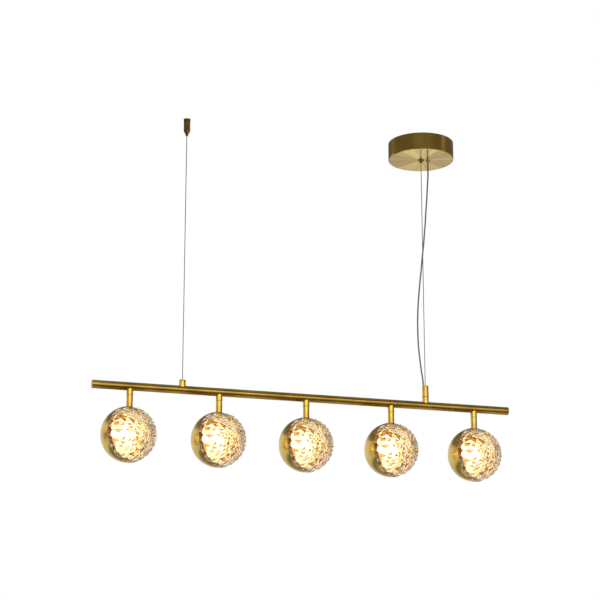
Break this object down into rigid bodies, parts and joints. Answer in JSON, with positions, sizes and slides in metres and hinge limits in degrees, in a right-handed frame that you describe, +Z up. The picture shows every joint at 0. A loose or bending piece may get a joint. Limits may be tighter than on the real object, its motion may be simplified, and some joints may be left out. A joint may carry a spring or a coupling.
{
  "type": "pendant light",
  "caption": "Linear pendant light: a brass bar on two suspension wires carries swivelling globe heads, each a spun brass back shell with a diamond-cut amber glass front.",
  "frame": {"origin": "centre of the canopy plate's ceiling face, between its two mounting slots", "axes": "+X along the bar, from the anchor's end to the canopy's end; +Z up to the ceiling; -Y to the front"},
  "size_m": [0.789, 0.125, 0.655],
  "materials": {
    "bar_brass": "satin",
    "light_brass": "satin",
    "shell_brass": "satin",
    "canopy_brass": "brushed",
    "plate_steel": "zinc plated",
    "bright_steel": "bright",
    "wire_steel": "bright strand",
    "cable_jacket": "smooth",
    "lead_jacket": "smooth",
    "washer_plastic": "plain",
    "driver_plastic": "plain",
    "terminal_plastic": "plain",
    "bush_plastic": "brass tone",
    "sink_aluminium": "gold anodised",
    "board_white": "white solder mask",
    "opal": "opal",
    "cut_glass": "diamond cut"
  },
  "bodies": {
    "ceiling": {"ceiling_plate": "plate_steel", "canopy_cover": "canopy_brass", "led_driver": "driver_plastic", "terminal_block": "terminal_plastic", "cable_bush": "bush_plastic", "canopy_gripper": "bar_brass", "canopy_spring": "bright_steel", "anchor_base": "bar_brass", "anchor_barrel": "bar_brass", "anchor_spring": "bright_steel"},
    "canopy_release": {"canopy_plunger": "light_brass", "canopy_balls": "bright_steel"},
    "anchor_release": {"anchor_plunger": "light_brass", "anchor_balls": "bright_steel"},
    "suspension": {"left_wire": "wire_steel", "right_wire": "wire_steel", "power_cable": "cable_jacket"},
    "bar": {"bar_tube": "bar_brass", "end_cap_left": "bar_brass", "end_cap_right": "bar_brass", "left_wire_fitting": "light_brass", "right_fitting_collar": "light_brass", "right_fitting_sleeve": "light_brass", "bar_wiring": "lead_jacket", "swivel_washers": "washer_plastic", "swivel_collar_1": "light_brass", "swivel_collar_2": "light_brass", "swivel_collar_3": "light_brass", "swivel_collar_4": "light_brass", "swivel_collar_5": "light_brass"},
    "head_1": {"stem_1": "light_brass", "back_shell_1": "shell_brass", "heat_sink_1": "sink_aluminium", "led_module_1": "board_white", "diffuser_1": "opal", "glass_dome_1": "cut_glass"},
    "head_2": {"stem_2": "light_brass", "back_shell_2": "shell_brass", "heat_sink_2": "sink_aluminium", "led_module_2": "board_white", "diffuser_2": "opal", "glass_dome_2": "cut_glass"},
    "head_3": {"stem_3": "light_brass", "back_shell_3": "shell_brass", "heat_sink_3": "sink_aluminium", "led_module_3": "board_white", "diffuser_3": "opal", "glass_dome_3": "cut_glass"},
    "head_4": {"stem_4": "light_brass", "back_shell_4": "shell_brass", "heat_sink_4": "sink_aluminium", "led_module_4": "board_white", "diffuser_4": "opal", "glass_dome_4": "cut_glass"},
    "head_5": {"stem_5": "light_brass", "back_shell_5": "shell_brass", "heat_sink_5": "sink_aluminium", "led_module_5": "board_white", "diffuser_5": "opal", "glass_dome_5": "cut_glass"}
  },
  "joints": [
    {"name": "swing", "type": "hinge", "parent": "ceiling", "child": "suspension", "pos_m": [-0.231, 0, -0.034], "axis": [1, 0, 0], "range_deg": [-10, 10]},
    {"name": "height_adjust", "type": "slide", "parent": "suspension", "child": "bar", "axis": [0, 0, 1], "range_m": [0, 0.2], "deforming": ["left_wire", "right_wire", "power_cable"]},
    {"name": "head_1_swivel", "type": "hinge", "parent": "bar", "child": "head_1", "pos_m": [-0.557, 0, -0.532], "axis": [0, 0, 1], "range_deg": [-196, 133]},
    {"name": "head_2_swivel", "type": "hinge", "parent": "bar", "child": "head_2", "pos_m": [-0.394, 0, -0.532], "axis": [0, 0, 1], "range_deg": [-196, 133]},
    {"name": "head_3_swivel", "type": "hinge", "parent": "bar", "child": "head_3", "pos_m": [-0.231, 0, -0.532], "axis": [0, 0, 1], "range_deg": [-196, 133]},
    {"name": "head_4_swivel", "type": "hinge", "parent": "bar", "child": "head_4", "pos_m": [-0.068, 0, -0.532], "axis": [0, 0, 1], "range_deg": [-196, 133]},
    {"name": "head_5_swivel", "type": "hinge", "parent": "bar", "child": "head_5", "pos_m": [0.095, 0, -0.532], "axis": [0, 0, 1], "range_deg": [-196, 133]},
    {"name": "canopy_release_press", "type": "slide", "parent": "ceiling", "child": "canopy_release", "axis": [0, 0, 1], "range_m": [0, 0.002], "stiffness_N_per_m": 600, "springref_m": -0.003, "deforming": ["canopy_spring"]},
    {"name": "anchor_release_press", "type": "slide", "parent": "ceiling", "child": "anchor_release", "axis": [0, 0, 1], "range_m": [0, 0.002], "stiffness_N_per_m": 600, "springref_m": -0.003, "deforming": ["anchor_spring"]}
  ]
}
